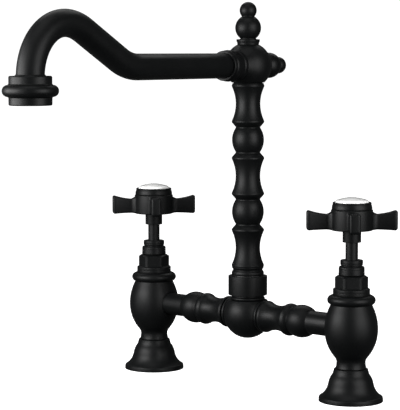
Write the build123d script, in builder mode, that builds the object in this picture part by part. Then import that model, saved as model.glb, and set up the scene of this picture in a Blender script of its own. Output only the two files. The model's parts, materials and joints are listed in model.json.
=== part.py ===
from build123d import *
from math import cos, radians, sin, sqrt
import os

# Bridge kitchen faucet in millimetres, +Z up. The origin is on the counter, midway between the
# two valve columns. The bridge runs along X, with hot at -X and cold at +X, and the spout reaches
# towards -Y. Every turned outline is a list of (radius, height along its own axis).

os.makedirs("parts", exist_ok=True)

# Driving dimensions
COLUMN_CENTRES = 203.2      # spacing of the two counter holes, 8 in
FOOT_RADIUS = 24.1
BRIDGE_Z = 55.0             # axis of the bridge above the counter
HEAD_Z = 248.8              # centre of the head ball, and axis of the spout's first run
SPOUT_SWING = 7.0           # degrees that the spout points from -Y towards +X
HANDLE_RADIUS = 33.8        # hub axis to the end of an arm
HOT_HANDLE_TURN = 47.5      # degrees from -Y towards +X of one arm
COLD_HANDLE_TURN = 41.5
HEX_TURN = 43.0             # degrees from -Y towards +X of one flat of the bonnet

# Fits
RUNNING = 0.06              # radial clearance of a shaft that turns in its bore
SEATED = 0.05               # radial clearance of a piece that is screwed or pressed home
SLIDE_GAP = 0.05            # gap between two flat faces that turn on each other

# Valve column
INLET_THREAD_RADIUS = 7.475     # minor radius of a three-eighths inch pipe thread
INLET_THREAD_DEPTH = 12.0
SHANK_RADIUS = 10.8
FOOT_TOP_Z = 24.5
SEAT_Z = 43.4               # seat that the cartridge stands on
CHAMBER_RADIUS = 11.0
COLUMN_TOP_Z = 79.6
BONNET_NOSE_RADIUS = 9.7
BONNET_NOSE_Z = 68.6
HEX_RADIUS = 12.7           # across the corners, halved
HEX_Z = 85.1
HEX_TOP_Z = 94.1
GLAND_BOSS_RADIUS = 7.4
GLAND_BOSS_Z = 98.5
GLAND_TOP_Z = 105.8
STEM_RADIUS = 4.68

# Cartridge
CAGE_RADIUS = 9.6
CAGE_BORE = 8.0
CAGE_Z = SEAT_Z + 2.2
DISC_RADIUS = 7.85
DISC_Z = CAGE_Z + 1.1       # underside of the fixed disc
DISC_THICKNESS = 2.7
DISC_PORT_RADIUS = 2.1
DISC_PORT_PITCH = 4.1
TANG_WIDTH = 2.8
TANG_LENGTH = 10.6
TANG_DEPTH = 1.4

# Handle
SLEEVE_Z = 118.9
SLEEVE_RADIUS = 6.9
DRUM_RADIUS = 15.6
DRUM_Z = 127.8
DRUM_TOP_Z = 143.3
CUP_RADIUS = 12.95
CUP_FLOOR_Z = 137.1
SPLINE_RADIUS = 3.7
SPLINE_Z = 121.6            # where the stem steps down inside the sleeve
ARM_ROOT = (11.5, 14.8, 135.2)      # width, height and middle height of an arm inside the hub
ARM_FLARE = (7.4, 12.8, 134.6)      # the same just outside the hub
ARM_NECK = (6.0, 11.6, 134.2)       # the same where the arm is narrowest
ARM_TIP = (8.3, 15.0, 135.3)        # the same at its end
ARM_CORNER = 1.5
BEZEL_TOP_Z = 148.7
CAP_TOP_Z = 152.3

# Bridge
TEE_RADIUS = 18.85
TEE_FACE = 15.4             # flat on the ball that an arm seats against
ARM_SPIGOT_RADIUS = 7.9
ARM_SPIGOT_END = 10.4
ARM_STUB_RADIUS = 8.9
WATERWAY_RADIUS = 5.7
TEE_BOSS_RADIUS = 12.3
TEE_NECK_Z = 70.4           # underside of the swivel collar
TEE_BOSS_Z = 81.0
SPIGOT_SOCKET_Z = 60.9

# Swivel and riser
SPIGOT_RADIUS = 8.74
SOCKET_RADIUS = SPIGOT_RADIUS + RUNNING
SPIGOT_Z = 61.8
COLLAR_RADIUS = 15.2
COLLAR_TOP_Z = 85.4
BUSH_RADIUS = 10.65
BUSH_FLANGE = 0.5
RISER_Z = COLLAR_TOP_Z + BUSH_FLANGE + SLIDE_GAP
RISER_TOP_Z = 235.8
RISER_BORE = 6.2
RISER_THREAD_RADIUS = 7.85
CREST_RADIUS = 12.4
WAIST_RADIUS = 9.5
FIRST_WAIST_Z = 107.4
REPEAT = 56.0               # height of one waist and one ball
RETAINING_GROOVE_Z = 76.0
SEAL_HEIGHTS = (65.2, 69.6)
SEAL_SECTION = 0.6          # radius of a spigot seal's round section

# Head and spout
HEAD_RADIUS = 18.2
FINIAL_FACE = 16.0          # flat on the head ball under a finial
FINIAL_THREAD = 3.5
NECK_END = 25.8
TUBE_RADIUS = 9.50
TUBE_WALL = 1.5
TUBE_START = 10.0
LIFT_START = 140.6          # distance out at which the tube starts to rise
LIFT_BEND = 47.8
LIFT_ANGLE = 27.3
LIFT_RUN = 43.3
CREST_BEND = 44.4
CREST_ANGLE = 18.0
DROP_BEND = 36.1
OUTLET_Z = 224.5
TUBE_END_Z = 235.8
AERATOR_THREAD = 11.1

COLUMN_X = COLUMN_CENTRES / 2
SPOUT_DIRECTION = Vector(sin(radians(SPOUT_SWING)), -cos(radians(SPOUT_SWING)), 0)
UP = Vector(0, 0, 1)


def lathe(origin, axis=UP, across=Vector(1, 0, 0)):
    """Plane to draw a turned outline on: its Y runs along the turning axis, its X outwards."""
    return Plane(origin=origin, x_dir=across, z_dir=across.cross(axis))


def turn(plane, start, *steps, mode=Mode.ADD):
    """Turn an outline about its plane's Y. A step is (r, h), a straight run, or two points, an arc
    that passes the first and ends at the second. A last straight run closes an open outline."""
    with BuildSketch(plane) as outline:
        with BuildLine():
            here = start
            for step in steps:
                if isinstance(step[0], tuple):
                    ThreePointArc(here, *step)
                    here = step[1]
                else:
                    Line(here, step)
                    here = step
            if here != start:
                Line(here, start)
        make_face()
    revolve(outline.sketch, axis=Axis(plane.origin, plane.y_dir), mode=mode)


def bore(plane, radius, low, high):
    """Round hole about the plane's Y."""
    turn(plane, (0, low), (radius, low), (radius, high), (0, high), mode=Mode.SUBTRACT)


def save(name, part):
    part.label = name
    export_step(part, f"parts/{name}.step")


def on_ball(ball_radius, radius):
    """Height above a ball's middle at which its surface has this radius."""
    return sqrt(ball_radius**2 - radius**2)


# --- Feet and valve columns -------------------------------------------------------------------

def foot_flange(axis):
    """Bell-shaped cover over the column's shank: rim, cove, shoulder and top bead."""
    with BuildPart() as flange:
        turn(
            axis,
            (21.7, 0), (FOOT_RADIUS - 0.5, 0), (FOOT_RADIUS, 0.5), (FOOT_RADIUS, 2.9),
            ((23.9, 3.4), (23.3, 3.7)),
            ((19.0, 7.8), (16.9, 13.3)),
            ((16.1, 16.8), (13.6, 20.6)),
            (13.1, 21.0),
            ((13.3, 22.8), (12.5, FOOT_TOP_Z - 0.1)), (SHANK_RADIUS + SEATED, FOOT_TOP_Z - 0.1),
            (SHANK_RADIUS + SEATED, 19.6),
            ((13.7, 16.8), (14.7, 13.3)),
            ((17.2, 6.6), (21.7, 2.1)),
        )
    return flange.part


def deck_gasket(axis):
    """Flat rubber ring that seals the flange to the counter."""
    with BuildPart() as gasket:
        turn(axis, (18.0, 0), (21.55, 0), (21.55, 1.6), (18.0, 1.6))
    return gasket.part


def column(axis, inward):
    """Urn-shaped valve body: threaded inlet below, cartridge chamber inside, port to the bridge."""
    with BuildPart() as body:
        turn(
            axis,
            (INLET_THREAD_RADIUS, 0), (SHANK_RADIUS, 0), (SHANK_RADIUS, FOOT_TOP_Z),
            (11.7, FOOT_TOP_Z), ((11.2, 25.0), (10.9, 26.4)),
            (10.9, 29.5),
            ((11.4, 31.5), (12.6, 33.2)),
            ((16.6, 39.3), (19.3, 47.0)),
            ((20.0, 54.6), (15.7, 71.8)),
            (15.5, 72.5),
            ((18.0, 75.9), (15.5, 79.2)), (14.9, COLUMN_TOP_Z),
            (BONNET_NOSE_RADIUS + SEATED, COLUMN_TOP_Z),
            (BONNET_NOSE_RADIUS + SEATED, BONNET_NOSE_Z), (CHAMBER_RADIUS, BONNET_NOSE_Z - 1.3),
            (CHAMBER_RADIUS, SEAT_Z), (WATERWAY_RADIUS, SEAT_Z),
            (WATERWAY_RADIUS, INLET_THREAD_DEPTH + 1.8), (INLET_THREAD_RADIUS, INLET_THREAD_DEPTH),
        )
        port = lathe(axis.origin + UP * BRIDGE_Z, inward, UP)
        bore(port, ARM_STUB_RADIUS + SEATED, CHAMBER_RADIUS - 1.5, 21)
    return body.part


def bonnet(axis):
    """Screwed headwork: threaded nose, round flange, chamfered hexagon and gland boss."""
    with BuildPart() as head:
        turn(
            axis,
            (STEM_RADIUS + RUNNING, BONNET_NOSE_Z), (BONNET_NOSE_RADIUS, BONNET_NOSE_Z),
            (BONNET_NOSE_RADIUS, COLUMN_TOP_Z), (13.8, COLUMN_TOP_Z + 0.2), (13.8, 83.6),
            ((13.5, 84.3), (13.0, 84.5)),
            (12.0, HEX_Z), (10.1, HEX_Z), (10.1, HEX_TOP_Z), (GLAND_BOSS_RADIUS, HEX_TOP_Z),
            (GLAND_BOSS_RADIUS, GLAND_BOSS_Z), (6.6, GLAND_BOSS_Z), (6.6, HEX_TOP_Z + 1),
            (STEM_RADIUS + RUNNING, HEX_TOP_Z + 1),
        )
        with BuildSketch(Plane(axis.origin + UP * (HEX_Z - 0.4))):
            RegularPolygon(HEX_RADIUS, 6, rotation=30 - 90 + HEX_TURN)
            Circle(9.9, mode=Mode.SUBTRACT)
        extrude(amount=HEX_TOP_Z - HEX_Z + 0.4)
        # The cone that takes the corners off the hexagon's top
        turn(
            axis,
            (10.9, HEX_TOP_Z + 0.1), (13.4, HEX_TOP_Z - 1.4), (14.1, HEX_TOP_Z + 0.1),
            mode=Mode.SUBTRACT,
        )
    return head.part


def gland_nut(axis):
    """Nut that closes the gland, with a beaded neck round the stem."""
    with BuildPart() as nut:
        turn(
            axis,
            (GLAND_BOSS_RADIUS + SEATED, HEX_TOP_Z), (9.4, HEX_TOP_Z), (9.8, HEX_TOP_Z + 0.5),
            (9.8, 100.4), (9.4, 100.9), (8.2, 101.1),
            ((7.9, 101.7), (8.1, 102.3)), (8.5, 102.8), (8.5, 105.1),
            ((8.35, 105.6), (7.9, GLAND_TOP_Z)), (STEM_RADIUS + RUNNING, GLAND_TOP_Z),
            (STEM_RADIUS + RUNNING, GLAND_BOSS_Z + 0.2),
            (GLAND_BOSS_RADIUS + SEATED, GLAND_BOSS_Z + 0.2),
        )
    return nut.part


def stem_seal(axis):
    """Round rubber seal in the gland."""
    middle, section, inner = 96.6, 0.9, STEM_RADIUS + RUNNING
    with BuildPart() as seal:
        turn(
            axis,
            (inner, middle),
            ((inner + section, middle - section), (inner + 2 * section, middle)),
            ((inner + section, middle + section), (inner, middle)),
        )
    return seal.part


# --- Ceramic cartridge ------------------------------------------------------------------------

def seat_seal(axis):
    """Rubber ring between the cartridge and its seat."""
    with BuildPart() as seal:
        turn(
            axis,
            (WATERWAY_RADIUS + 0.3, SEAT_Z), (8.6, SEAT_Z), (8.6, CAGE_Z), (WATERWAY_RADIUS + 0.3, CAGE_Z),
        )
    return seal.part


def cage(axis):
    """Windowed sleeve that holds the two discs and lets the water out sideways."""
    with BuildPart() as sleeve:
        turn(
            axis,
            (WATERWAY_RADIUS + 0.7, CAGE_Z), (CAGE_RADIUS, CAGE_Z), (CAGE_RADIUS, BONNET_NOSE_Z),
            (CAGE_BORE, BONNET_NOSE_Z), (CAGE_BORE, DISC_Z), (WATERWAY_RADIUS + 0.7, DISC_Z),
        )
        with BuildSketch(Plane.YZ.offset(axis.origin.X)):
            with Locations((0, 58.6)):
                RectangleRounded(8, 8.8, 1.3)
        extrude(amount=CAGE_RADIUS + 1, both=True, mode=Mode.SUBTRACT)
    return sleeve.part


def fixed_disc(axis):
    """Lower ceramic disc, with two ports."""
    with BuildPart() as disc:
        with BuildSketch(Plane(axis.origin + UP * DISC_Z)):
            Circle(DISC_RADIUS)
            with PolarLocations(DISC_PORT_PITCH, 2):
                Circle(DISC_PORT_RADIUS, mode=Mode.SUBTRACT)
        extrude(amount=DISC_THICKNESS)
    return disc.part


def moving_disc(axis):
    """Upper ceramic disc: two ports, a notch on each side and a slot for the stem's tang."""
    low = DISC_Z + DISC_THICKNESS + SLIDE_GAP
    with BuildPart() as disc:
        with BuildSketch(Plane(axis.origin + UP * low)):
            Circle(DISC_RADIUS - 0.25)
            with PolarLocations(DISC_PORT_PITCH, 2, start_angle=90):
                Circle(DISC_PORT_RADIUS, mode=Mode.SUBTRACT)
        extrude(amount=DISC_THICKNESS)
        with BuildSketch(Plane(axis.origin + UP * (low + DISC_THICKNESS))):
            Rectangle(TANG_LENGTH + 0.2, TANG_WIDTH + 0.2)
        extrude(amount=-TANG_DEPTH - 0.2, mode=Mode.SUBTRACT)
    return disc.part


def stem(axis):
    """Spindle from the upper disc to the handle, with a tang, two shoulders and a tapped end."""
    foot_z = DISC_Z + 2 * DISC_THICKNESS + 2 * SLIDE_GAP
    with BuildPart() as spindle:
        turn(
            axis,
            (0, foot_z), (7.4, foot_z), (7.4, foot_z + 1.9), (3.7, foot_z + 3.0),
            (3.7, BONNET_NOSE_Z - 3.5), (7.4, BONNET_NOSE_Z - 2.4), (7.4, BONNET_NOSE_Z - 0.4),
            (STEM_RADIUS, BONNET_NOSE_Z - 0.4), (STEM_RADIUS, SPLINE_Z),
            (SPLINE_RADIUS, SPLINE_Z + 1), (SPLINE_RADIUS, CUP_FLOOR_Z - 0.4), (0, CUP_FLOOR_Z - 0.4),
        )
        with BuildSketch(Plane(axis.origin + UP * foot_z)):
            Rectangle(TANG_LENGTH, TANG_WIDTH)
        extrude(amount=-TANG_DEPTH)
        bore(axis, 2.1, CUP_FLOOR_Z - 16, CUP_FLOOR_Z)
    return spindle.part


# --- Cross handle -----------------------------------------------------------------------------

def handle(axis, angle):
    """Hub with a sleeve below and a cup above, and four arms that flare towards their ends."""
    with BuildPart() as cross:
        turn(
            axis,
            (0, DRUM_Z), (SLEEVE_RADIUS, DRUM_Z), (DRUM_RADIUS - 0.8, DRUM_Z),
            ((DRUM_RADIUS - 0.25, DRUM_Z + 0.25), (DRUM_RADIUS, DRUM_Z + 0.8)),
            (DRUM_RADIUS, DRUM_TOP_Z - 0.5), (DRUM_RADIUS - 0.5, DRUM_TOP_Z), (0, DRUM_TOP_Z),
        )
        for quarter in range(4):
            bearing = radians(angle + 90 * quarter)
            outward = Vector(sin(bearing), -cos(bearing), 0)
            sideways = Vector(cos(bearing), sin(bearing), 0)
            neck = (DRUM_RADIUS + 3.0, ARM_NECK)
            for stations in (
                ((DRUM_RADIUS - 1.8, ARM_ROOT), (DRUM_RADIUS + 0.7, ARM_FLARE), neck),
                ((DRUM_RADIUS - 3.6, ARM_NECK), neck, (HANDLE_RADIUS, ARM_TIP)),
            ):
                for distance, (width, height, middle) in stations:
                    place = axis.origin + outward * distance + UP * middle
                    with BuildSketch(Plane(origin=place, x_dir=sideways, z_dir=outward)):
                        RectangleRounded(width, height, ARM_CORNER)
                loft()
        tips = cross.faces().filter_by(lambda face: abs(face.center().Z - ARM_TIP[2]) < 0.5).sort_by(
            lambda face: (face.center() - axis.origin - UP * face.center().Z).length
        )[-4:]
        fillet(tips.edges(), 1.1)
        turn(
            axis,
            (0, SLEEVE_Z), (SLEEVE_RADIUS - 0.5, SLEEVE_Z), (SLEEVE_RADIUS, SLEEVE_Z + 0.5),
            (SLEEVE_RADIUS, DRUM_Z), (0, DRUM_Z),
        )
        turn(
            axis,
            (0, SLEEVE_Z - 1), (STEM_RADIUS + SEATED, SLEEVE_Z - 1),
            (STEM_RADIUS + SEATED, SPLINE_Z + SEATED), (SPLINE_RADIUS + SEATED, SPLINE_Z + 1.1),
            (SPLINE_RADIUS + SEATED, CUP_FLOOR_Z), (CUP_RADIUS, CUP_FLOOR_Z),
            (CUP_RADIUS, DRUM_TOP_Z + 1), (0, DRUM_TOP_Z + 1),
            mode=Mode.SUBTRACT,
        )
    return cross.part


def handle_screw(axis):
    """Socket screw that holds the handle on its stem."""
    with BuildPart() as screw:
        turn(
            axis,
            (0, CUP_FLOOR_Z - 14), (2.05, CUP_FLOOR_Z - 14), (2.05, CUP_FLOOR_Z),
            (4.8, CUP_FLOOR_Z), (4.8, CUP_FLOOR_Z + 0.6), (3.6, CUP_FLOOR_Z + 0.6),
            (3.6, CUP_FLOOR_Z + 3.2), (0, CUP_FLOOR_Z + 3.2),
        )
        with BuildSketch(Plane(axis.origin + UP * (CUP_FLOOR_Z + 3.2))):
            RegularPolygon(1.8, 6)
        extrude(amount=-2.0, mode=Mode.SUBTRACT)
    return screw.part


def bezel(axis):
    """Tapered ring screwed into the hub, with a rolled lip round the cap."""
    with BuildPart() as ring:
        turn(
            axis,
            (11.8, 140.0), (CUP_RADIUS - SEATED, 140.0), (CUP_RADIUS - SEATED, DRUM_TOP_Z),
            (14.8, DRUM_TOP_Z), (15.0, DRUM_TOP_Z + 0.4), (15.0, 144.7),
            ((14.75, 146.0), (14.25, 147.4)),
            ((14.35, 148.3), (13.9, BEZEL_TOP_Z)), (12.6, BEZEL_TOP_Z - 0.3), (12.4, 147.0), (11.8, 146.3),
        )
    return ring.part


def cap(axis):
    """Porcelain button with a domed top."""
    dome_radius, edge = 32.0, 10.6
    dome_middle = CAP_TOP_Z - dome_radius
    with BuildPart() as button:
        turn(
            axis,
            (0, 141.8), (10.5, 141.8), (11.7, 142.8), (11.7, 146.4), (12.3, 147.1), (12.45, 148.6),
            ((11.9, 149.8), (edge, dome_middle + on_ball(dome_radius, edge))),
            ((edge / 2, dome_middle + on_ball(dome_radius, edge / 2)), (0, CAP_TOP_Z)),
        )
    return button.part


# --- Bridge -----------------------------------------------------------------------------------

def bridge_arm(outward):
    """Turned arm from the centre ball to a column: two rings, a waist, a bead, a ball and a stub."""
    axis = lathe(Vector(0, 0, BRIDGE_Z), outward, UP)
    ball, ball_middle = 12.55, 55.4
    arm_end = COLUMN_X - CHAMBER_RADIUS - 0.6
    with BuildPart() as arm:
        turn(
            axis,
            (WATERWAY_RADIUS, ARM_SPIGOT_END), (ARM_SPIGOT_RADIUS, ARM_SPIGOT_END),
            (ARM_SPIGOT_RADIUS, TEE_FACE), (11.4, TEE_FACE), ((11.9, 16.6), (11.6, 17.8)), (11.4, 18.1),
            (11.8, 18.5), ((12.3, 19.9), (11.8, 21.5)),
            ((9.6, 30.9), (11.4, 40.1)), (11.7, 40.5),
            ((12.5, 43.1), (11.7, 45.8)), (10.6, 47.2),
            ((ball, ball_middle), (ARM_STUB_RADIUS, ball_middle + on_ball(ball, ARM_STUB_RADIUS))),
            (ARM_STUB_RADIUS, arm_end), (WATERWAY_RADIUS, arm_end),
        )
    return arm.part


def arm_seal(outward):
    """Rubber ring at the bottom of the socket that an arm is screwed into."""
    axis = lathe(Vector(0, 0, BRIDGE_Z), outward, UP)
    inner, outer = WATERWAY_RADIUS + 0.1, ARM_SPIGOT_RADIUS - 0.1
    low, high = ARM_SPIGOT_END - 1.3, ARM_SPIGOT_END - 0.05
    with BuildPart() as seal:
        turn(axis, (inner, low), (outer, low), (outer, high), (inner, high))
    return seal.part


CENTRE = lathe(Vector(0, 0, 0))

with BuildPart() as centre_tee:
    shoulder = 12.0                 # height above the bridge of the flat that the neck stands on
    turn(
        CENTRE,
        (0, BRIDGE_Z - TEE_RADIUS),
        ((TEE_RADIUS, BRIDGE_Z), (on_ball(TEE_RADIUS, shoulder), BRIDGE_Z + shoulder)),
        (12.7, BRIDGE_Z + shoulder), ((13.25, 68.2), (12.7, 69.4)), (TEE_BOSS_RADIUS, 69.6),
        (TEE_BOSS_RADIUS, TEE_BOSS_Z), (0, TEE_BOSS_Z),
    )
    for side in (-1, 1):
        socket = lathe(Vector(0, 0, BRIDGE_Z), Vector(side, 0, 0), UP)
        bore(socket, TEE_RADIUS, TEE_FACE, TEE_RADIUS + 1)
    for side in (-1, 1):
        socket = lathe(Vector(0, 0, BRIDGE_Z), Vector(side, 0, 0), UP)
        bore(socket, ARM_SPIGOT_RADIUS + SEATED, ARM_SPIGOT_END - 1.3, TEE_FACE + 1)
        bore(socket, WATERWAY_RADIUS, 0, ARM_SPIGOT_END)
    bore(CENTRE, 7.4, BRIDGE_Z - 8, SPIGOT_SOCKET_Z + 1)
    bore(CENTRE, SOCKET_RADIUS, SPIGOT_SOCKET_Z, TEE_BOSS_Z + 1)
    # Tapped hole at the back for the screw that keeps the riser in
    back_hole = lathe(Vector(0, 0, RETAINING_GROOVE_Z), Vector(0, 1, 0), UP)
    bore(back_hole, 2.2, 8, TEE_BOSS_RADIUS + 1)
save("centre_tee", centre_tee.part)

with BuildPart() as swivel_collar:
    turn(
        CENTRE,
        (TEE_BOSS_RADIUS + SEATED, TEE_NECK_Z), (COLLAR_RADIUS - 0.4, TEE_NECK_Z),
        (COLLAR_RADIUS, TEE_NECK_Z + 0.4),
        (COLLAR_RADIUS, COLLAR_TOP_Z - 0.6), (COLLAR_RADIUS - 0.5, COLLAR_TOP_Z),
        (BUSH_RADIUS + SEATED, COLLAR_TOP_Z), (BUSH_RADIUS + SEATED, TEE_BOSS_Z),
        (TEE_BOSS_RADIUS + SEATED, TEE_BOSS_Z),
    )
    bore(back_hole, 2.2, TEE_BOSS_RADIUS - 1, COLLAR_RADIUS + 1)
save("swivel_collar", swivel_collar.part)

with BuildPart() as retaining_screw:
    screw_end = COLLAR_RADIUS - 0.6
    turn(back_hole, (0, 8.2), (1.3, 8.2), (2.15, 9.3), (2.15, screw_end), (0, screw_end))
    with BuildSketch(Plane(origin=(0, screw_end, RETAINING_GROOVE_Z), x_dir=(1, 0, 0), z_dir=(0, 1, 0))):
        RegularPolygon(1.3, 6)
    extrude(amount=-2.0, mode=Mode.SUBTRACT)
save("retaining_screw", retaining_screw.part)

with BuildPart() as swivel_bush:
    turn(
        CENTRE,
        (SOCKET_RADIUS, TEE_BOSS_Z + 0.3), (BUSH_RADIUS, TEE_BOSS_Z + 0.3), (BUSH_RADIUS, COLLAR_TOP_Z),
        (11.8, COLLAR_TOP_Z), (11.8, COLLAR_TOP_Z + BUSH_FLANGE), (SOCKET_RADIUS, COLLAR_TOP_Z + BUSH_FLANGE),
    )
save("swivel_bush", swivel_bush.part)

for name, side in (("hot", -1), ("cold", 1)):
    axis = lathe(Vector(side * COLUMN_X, 0, 0))
    inward = Vector(-side, 0, 0)
    save(f"{name}_foot_flange", foot_flange(axis))
    save(f"{name}_deck_gasket", deck_gasket(axis))
    save(f"{name}_column", column(axis, inward))
    save(f"{name}_bonnet", bonnet(axis))
    save(f"{name}_gland_nut", gland_nut(axis))
    save(f"{name}_stem_seal", stem_seal(axis))
    save(f"{name}_seat_seal", seat_seal(axis))
    save(f"{name}_cartridge_cage", cage(axis))
    save(f"{name}_fixed_disc", fixed_disc(axis))
    save(f"{name}_moving_disc", moving_disc(axis))
    save(f"{name}_stem", stem(axis))
    save(f"{name}_handle", handle(axis, HOT_HANDLE_TURN if side < 0 else COLD_HANDLE_TURN))
    save(f"{name}_handle_screw", handle_screw(axis))
    save(f"{name}_bezel", bezel(axis))
    save(f"{name}_cap", cap(axis))
    save(f"{name}_bridge_arm", bridge_arm(Vector(side, 0, 0)))
    save(f"{name}_arm_seal", arm_seal(Vector(side, 0, 0)))


# --- Riser ------------------------------------------------------------------------------------

def waist_steps(middle):
    """Concave stretch between two crests, with the crests' rounded edges."""
    reach = 12.9
    return [
        (CREST_RADIUS, middle - reach - 1.8),
        ((CREST_RADIUS + 0.25, middle - reach - 1.0), (CREST_RADIUS, middle - reach)),
        ((WAIST_RADIUS, middle), (CREST_RADIUS, middle + reach)),
        ((CREST_RADIUS + 0.25, middle + reach + 1.0), (CREST_RADIUS, middle + reach + 1.8)),
    ]


def ball_steps(middle):
    """Ball between two notches."""
    return [
        (10.0, middle - 10.5),
        ((9.55, middle - 9.9), (9.8, middle - 9.0)),
        ((CREST_RADIUS, middle), (9.8, middle + 9.0)),
        ((9.55, middle + 9.9), (10.0, middle + 10.5)),
    ]


with BuildPart() as riser:
    steps = [(12.0, RISER_Z), ((12.45, 86.7), (12.2, 87.8)), ((11.6, 89.8), (12.0, 91.2))]
    for repeat in range(3):
        middle = FIRST_WAIST_Z + REPEAT * repeat
        steps += waist_steps(middle)
        if repeat < 2:
            steps += ball_steps(middle + REPEAT / 2)
    steps += [
        (12.3, RISER_TOP_Z), (RISER_THREAD_RADIUS, RISER_TOP_Z), (RISER_THREAD_RADIUS, RISER_TOP_Z + 6.3),
        (RISER_BORE, RISER_TOP_Z + 6.3), (RISER_BORE, RISER_Z + 10.6),
        (RISER_THREAD_RADIUS + SEATED, RISER_Z + 10.6),
    ]
    turn(CENTRE, (RISER_THREAD_RADIUS + SEATED, RISER_Z), *steps)
save("riser", riser.part)

with BuildPart() as swivel_spigot:
    groove = SPIGOT_RADIUS - 2 * SEAL_SECTION - 0.05
    steps = [(SPIGOT_RADIUS - 0.5, SPIGOT_Z), (SPIGOT_RADIUS, SPIGOT_Z + 0.5)]
    for middle, half_width in ((SEAL_HEIGHTS[0], 0.85), (SEAL_HEIGHTS[1], 0.85), (RETAINING_GROOVE_Z, 2.1)):
        steps += [(SPIGOT_RADIUS, middle - half_width), (groove, middle - half_width)]
        steps += [(groove, middle + half_width), (SPIGOT_RADIUS, middle + half_width)]
    steps += [
        (SPIGOT_RADIUS, RISER_Z), (RISER_THREAD_RADIUS, RISER_Z), (RISER_THREAD_RADIUS, RISER_Z + 10.4),
        (RISER_BORE, RISER_Z + 10.4),
    ]
    turn(CENTRE, (RISER_BORE, SPIGOT_Z), *steps)
save("swivel_spigot", swivel_spigot.part)

with BuildPart() as spigot_seals:
    inner = SPIGOT_RADIUS - 2 * SEAL_SECTION
    for middle in SEAL_HEIGHTS:
        turn(
            CENTRE,
            (inner, middle),
            ((inner + SEAL_SECTION, middle - SEAL_SECTION), (inner + 2 * SEAL_SECTION, middle)),
            ((inner + SEAL_SECTION, middle + SEAL_SECTION), (inner, middle)),
        )
save("spigot_seals", spigot_seals.part)


# --- Head, finials and spout ------------------------------------------------------------------

HEAD = Vector(0, 0, HEAD_Z)
HEAD_UP = lathe(HEAD)
HEAD_FORWARD = lathe(HEAD, SPOUT_DIRECTION, UP)
HEAD_BACK = lathe(HEAD, SPOUT_DIRECTION * -1, UP)

with BuildPart() as head_ball:
    turn(HEAD_UP, (0, -HEAD_RADIUS), ((HEAD_RADIUS, 0), (0, HEAD_RADIUS)))
    turn(
        HEAD_FORWARD,
        (0, 7.5), (11.45, 7.5), (11.45, 15.6),
        ((11.9, 17.8), (11.45, 20.0)), (11.1, 20.3), (11.1, NECK_END), (0, NECK_END),
    )
    bore(HEAD_UP, HEAD_RADIUS, -HEAD_RADIUS - 1, RISER_TOP_Z - HEAD_Z)
    for face in (HEAD_UP, HEAD_BACK):
        bore(face, 9.4, FINIAL_FACE, HEAD_RADIUS + 1)
        bore(face, FINIAL_THREAD + SEATED, FINIAL_FACE - 5.4, FINIAL_FACE + 1)
    bore(HEAD_UP, RISER_THREAD_RADIUS + SEATED, -HEAD_RADIUS, RISER_TOP_Z - HEAD_Z + 6.4)
    bore(HEAD_UP, RISER_BORE, -9, 0)
    bore(HEAD_FORWARD, TUBE_RADIUS + SEATED, TUBE_START - 0.1, NECK_END + 1)
    bore(HEAD_FORWARD, RISER_BORE, -4.5, TUBE_START)
save("head_ball", head_ball.part)


def finial(axis):
    """Turned ornament: threaded tail, collar, ball and small ball."""
    ball_middle, ball, neck = 28.95, 10.0, 6.1
    tip_middle, tip, waist = 42.35, 6.6, 5.0
    with BuildPart() as knob:
        turn(
            axis,
            (0, FINIAL_FACE - 4.9), (FINIAL_THREAD, FINIAL_FACE - 4.9), (FINIAL_THREAD, FINIAL_FACE),
            (8.5, FINIAL_FACE), (8.8, 16.5), (9.0, 19.3),
            ((8.8, 20.0), (8.2, 20.2)),
            (neck, 20.5), (neck, ball_middle - on_ball(ball, neck)),
            ((ball, ball_middle), (waist, ball_middle + on_ball(ball, waist))),
            (waist, tip_middle - on_ball(tip, waist)),
            ((tip, tip_middle), (0, tip_middle + tip)),
        )
    return knob.part


save("top_finial", finial(HEAD_UP))
save("back_finial", finial(HEAD_BACK))

with BuildPart() as spout_nut:
    turn(
        HEAD_FORWARD,
        (TUBE_RADIUS + SEATED, NECK_END), (11.5, NECK_END), (11.8, 26.4),
        ((12.05, 28.7), (11.7, 31.0)), (11.1, 31.6),
        ((11.55, 32.8), (11.0, 34.0)), (TUBE_RADIUS + SEATED, 34.0),
    )
save("spout_nut", spout_nut.part)


def on_spout(out, height):
    """Point in the spout's upright plane."""
    return SPOUT_DIRECTION * out + UP * height


with BuildPart() as spout_tube:
    with BuildLine() as centreline:     # drawn flat as (distance out, height), then stood up
        run = Line((TUBE_START, HEAD_Z), (LIFT_START, HEAD_Z))
        lift = JernArc(run @ 1, run % 1, LIFT_BEND, LIFT_ANGLE)
        climb = Line(lift @ 1, lift @ 1 + (lift % 1) * LIFT_RUN)
        crest = JernArc(climb @ 1, climb % 1, CREST_BEND, -CREST_ANGLE)
        drop = JernArc(crest @ 1, crest % 1, DROP_BEND, CREST_ANGLE - LIFT_ANGLE - 90)
        Line(drop @ 1, ((drop @ 1).X, TUBE_END_Z))
    upright = Plane(origin=(0, 0, 0), x_dir=SPOUT_DIRECTION, z_dir=SPOUT_DIRECTION.cross(UP))
    with BuildSketch(Plane(origin=on_spout(TUBE_START, HEAD_Z), x_dir=UP, z_dir=SPOUT_DIRECTION)):
        Circle(TUBE_RADIUS)
        Circle(TUBE_RADIUS - TUBE_WALL, mode=Mode.SUBTRACT)
    sweep(path=centreline.wire().moved(upright.location))
save("spout_tube", spout_tube.part)

OUTLET_REACH = (drop @ 1).X
OUTLET = lathe(on_spout(OUTLET_REACH, 0))

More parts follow.
